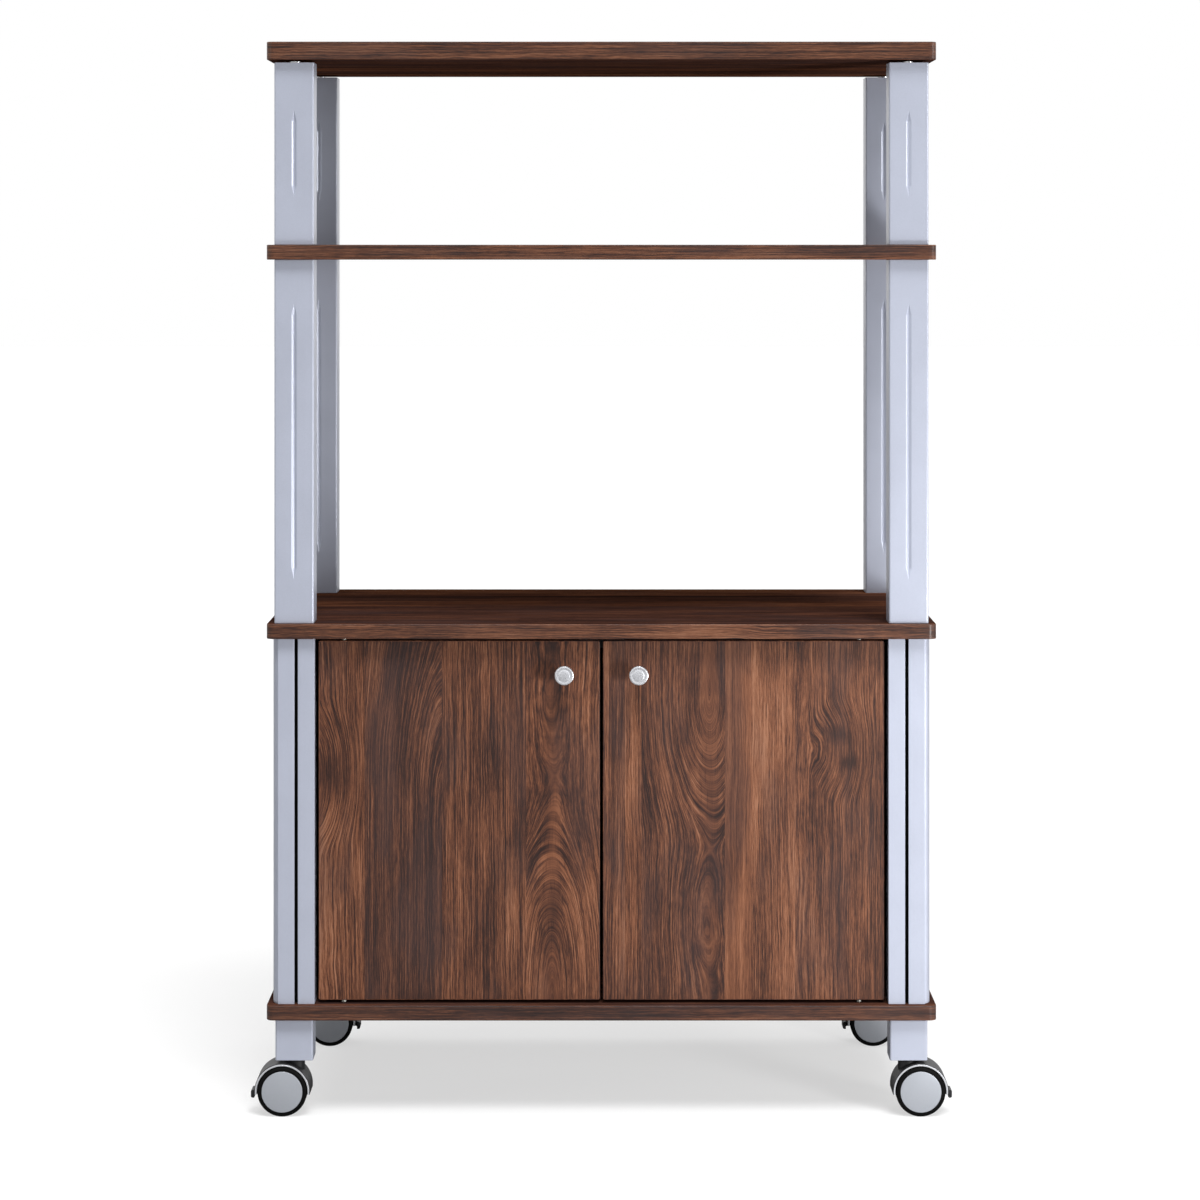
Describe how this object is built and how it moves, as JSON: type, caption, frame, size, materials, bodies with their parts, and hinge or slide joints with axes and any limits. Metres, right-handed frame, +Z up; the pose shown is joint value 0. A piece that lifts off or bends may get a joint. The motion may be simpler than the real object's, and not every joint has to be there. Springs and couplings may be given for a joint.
{
  "type": "microwave cart",
  "caption": "Microwave cart with walnut boards on silver posts, an open shelf bay, a microwave bay, a cabinet with hinged doors and braked casters.",
  "frame": {"origin": "on the floor, under the middle of the whole cart, knobs included", "axes": "+Z up, -Y towards the front with the doors, +X to the right seen from the front"},
  "size_m": [0.709, 0.409, 1.0835],
  "materials": {
    "walnut": "walnut grain foil, satin",
    "silver_post": "silver powder coat, satin",
    "chrome": "polished",
    "steel": "zinc plated",
    "satin_steel": "satin",
    "caster_plastic": "black nylon, low gloss",
    "wheel": "black nylon tyre with a silver cap",
    "hardboard": "dark laminated hardboard",
    "nylon": "dark brown moulded nylon"
  },
  "bodies": {
    "root": {"top_board": "walnut", "upper_shelf": "walnut", "cabinet_top": "walnut", "bottom_board": "walnut", "leg_front_left": "silver_post", "cabinet_post_front_left": "silver_post", "middle_post_front_left": "silver_post", "upper_post_front_left": "silver_post", "top_stud_front_left": "chrome", "caster_stem_front_left": "steel", "leg_front_right": "silver_post", "cabinet_post_front_right": "silver_post", "middle_post_front_right": "silver_post", "upper_post_front_right": "silver_post", "top_stud_front_right": "chrome", "caster_stem_front_right": "steel", "leg_back_left": "silver_post", "cabinet_post_back_left": "silver_post", "middle_post_back_left": "silver_post", "upper_post_back_left": "silver_post", "top_stud_back_left": "chrome", "caster_stem_back_left": "steel", "leg_back_right": "silver_post", "cabinet_post_back_right": "silver_post", "middle_post_back_right": "silver_post", "upper_post_back_right": "silver_post", "top_stud_back_right": "chrome", "caster_stem_back_right": "steel", "left_side_panel": "hardboard", "right_side_panel": "hardboard", "back_panel": "hardboard", "left_door_lower_pin": "steel", "left_door_upper_pin": "steel", "right_door_lower_pin": "steel", "right_door_upper_pin": "steel", "door_catch": "nylon"},
    "left_door": {"left_door": "walnut", "left_knob": "satin_steel"},
    "right_door": {"right_door": "walnut", "right_knob": "satin_steel"},
    "caster_front_left": {"caster_housing_front_left": "caster_plastic", "caster_axle_front_left": "steel"},
    "front_wheel_front_left": {"front_wheel_front_left": "wheel"},
    "rear_wheel_front_left": {"rear_wheel_front_left": "wheel"},
    "brake_lever_front_left": {"brake_lever_front_left": "caster_plastic"},
    "caster_front_right": {"caster_housing_front_right": "caster_plastic", "caster_axle_front_right": "steel"},
    "front_wheel_front_right": {"front_wheel_front_right": "wheel"},
    "rear_wheel_front_right": {"rear_wheel_front_right": "wheel"},
    "brake_lever_front_right": {"brake_lever_front_right": "caster_plastic"},
    "caster_back_left": {"caster_housing_back_left": "caster_plastic", "caster_axle_back_left": "steel"},
    "front_wheel_back_left": {"front_wheel_back_left": "wheel"},
    "rear_wheel_back_left": {"rear_wheel_back_left": "wheel"},
    "brake_lever_back_left": {"brake_lever_back_left": "caster_plastic"},
    "caster_back_right": {"caster_housing_back_right": "caster_plastic", "caster_axle_back_right": "steel"},
    "front_wheel_back_right": {"front_wheel_back_right": "wheel"},
    "rear_wheel_back_right": {"rear_wheel_back_right": "wheel"},
    "brake_lever_back_right": {"brake_lever_back_right": "caster_plastic"}
  },
  "joints": [
    {"name": "left_door_hinge", "type": "hinge", "parent": "root", "child": "left_door", "pos_m": [-0.2607, -0.173, 0.2975], "axis": [0, 0, -1], "range_deg": [0, 105]},
    {"name": "right_door_hinge", "type": "hinge", "parent": "root", "child": "right_door", "pos_m": [0.2607, -0.173, 0.2975], "axis": [0, 0, 1], "range_deg": [0, 105]},
    {"name": "swivel_front_left", "type": "hinge", "parent": "root", "child": "caster_front_left", "pos_m": [-0.31, -0.1675, 0.05], "axis": [0, 0, 1], "continuous": true},
    {"name": "spin_front_wheel_front_left", "type": "hinge", "parent": "caster_front_left", "child": "front_wheel_front_left", "pos_m": [-0.322, -0.1825, 0.025], "axis": [0, 1, 0], "continuous": true},
    {"name": "spin_rear_wheel_front_left", "type": "hinge", "parent": "caster_front_left", "child": "rear_wheel_front_left", "pos_m": [-0.322, -0.1525, 0.025], "axis": [0, 1, 0], "continuous": true},
    {"name": "brake_front_left", "type": "hinge", "parent": "caster_front_left", "child": "brake_lever_front_left", "pos_m": [-0.336, -0.1675, 0.027], "axis": [0, -1, 0], "range_deg": [0, 12]},
    {"name": "swivel_front_right", "type": "hinge", "parent": "root", "child": "caster_front_right", "pos_m": [0.31, -0.1675, 0.05], "axis": [0, 0, 1], "continuous": true},
    {"name": "spin_front_wheel_front_right", "type": "hinge", "parent": "caster_front_right", "child": "front_wheel_front_right", "pos_m": [0.322, -0.1825, 0.025], "axis": [0, 1, 0], "continuous": true},
    {"name": "spin_rear_wheel_front_right", "type": "hinge", "parent": "caster_front_right", "child": "rear_wheel_front_right", "pos_m": [0.322, -0.1525, 0.025], "axis": [0, 1, 0], "continuous": true},
    {"name": "brake_front_right", "type": "hinge", "parent": "caster_front_right", "child": "brake_lever_front_right", "pos_m": [0.336, -0.1675, 0.027], "axis": [0, 1, 0], "range_deg": [0, 12]},
    {"name": "swivel_back_left", "type": "hinge", "parent": "root", "child": "caster_back_left", "pos_m": [-0.31, 0.1765, 0.05], "axis": [0, 0, 1], "continuous": true},
    {"name": "spin_front_wheel_back_left", "type": "hinge", "parent": "caster_back_left", "child": "front_wheel_back_left", "pos_m": [-0.298, 0.1615, 0.025], "axis": [0, 1, 0], "continuous": true},
    {"name": "spin_rear_wheel_back_left", "type": "hinge", "parent": "caster_back_left", "child": "rear_wheel_back_left", "pos_m": [-0.298, 0.1915, 0.025], "axis": [0, 1, 0], "continuous": true},
    {"name": "brake_back_left", "type": "hinge", "parent": "caster_back_left", "child": "brake_lever_back_left", "pos_m": [-0.284, 0.1765, 0.027], "axis": [0, 1, 0], "range_deg": [0, 12]},
    {"name": "swivel_back_right", "type": "hinge", "parent": "root", "child": "caster_back_right", "pos_m": [0.31, 0.1765, 0.05], "axis": [0, 0, 1], "continuous": true},
    {"name": "spin_front_wheel_back_right", "type": "hinge", "parent": "caster_back_right", "child": "front_wheel_back_right", "pos_m": [0.298, 0.1615, 0.025], "axis": [0, 1, 0], "continuous": true},
    {"name": "spin_rear_wheel_back_right", "type": "hinge", "parent": "caster_back_right", "child": "rear_wheel_back_right", "pos_m": [0.298, 0.1915, 0.025], "axis": [0, 1, 0], "continuous": true},
    {"name": "brake_back_right", "type": "hinge", "parent": "caster_back_right", "child": "brake_lever_back_right", "pos_m": [0.284, 0.1765, 0.027], "axis": [0, -1, 0], "range_deg": [0, 12]}
  ]
}
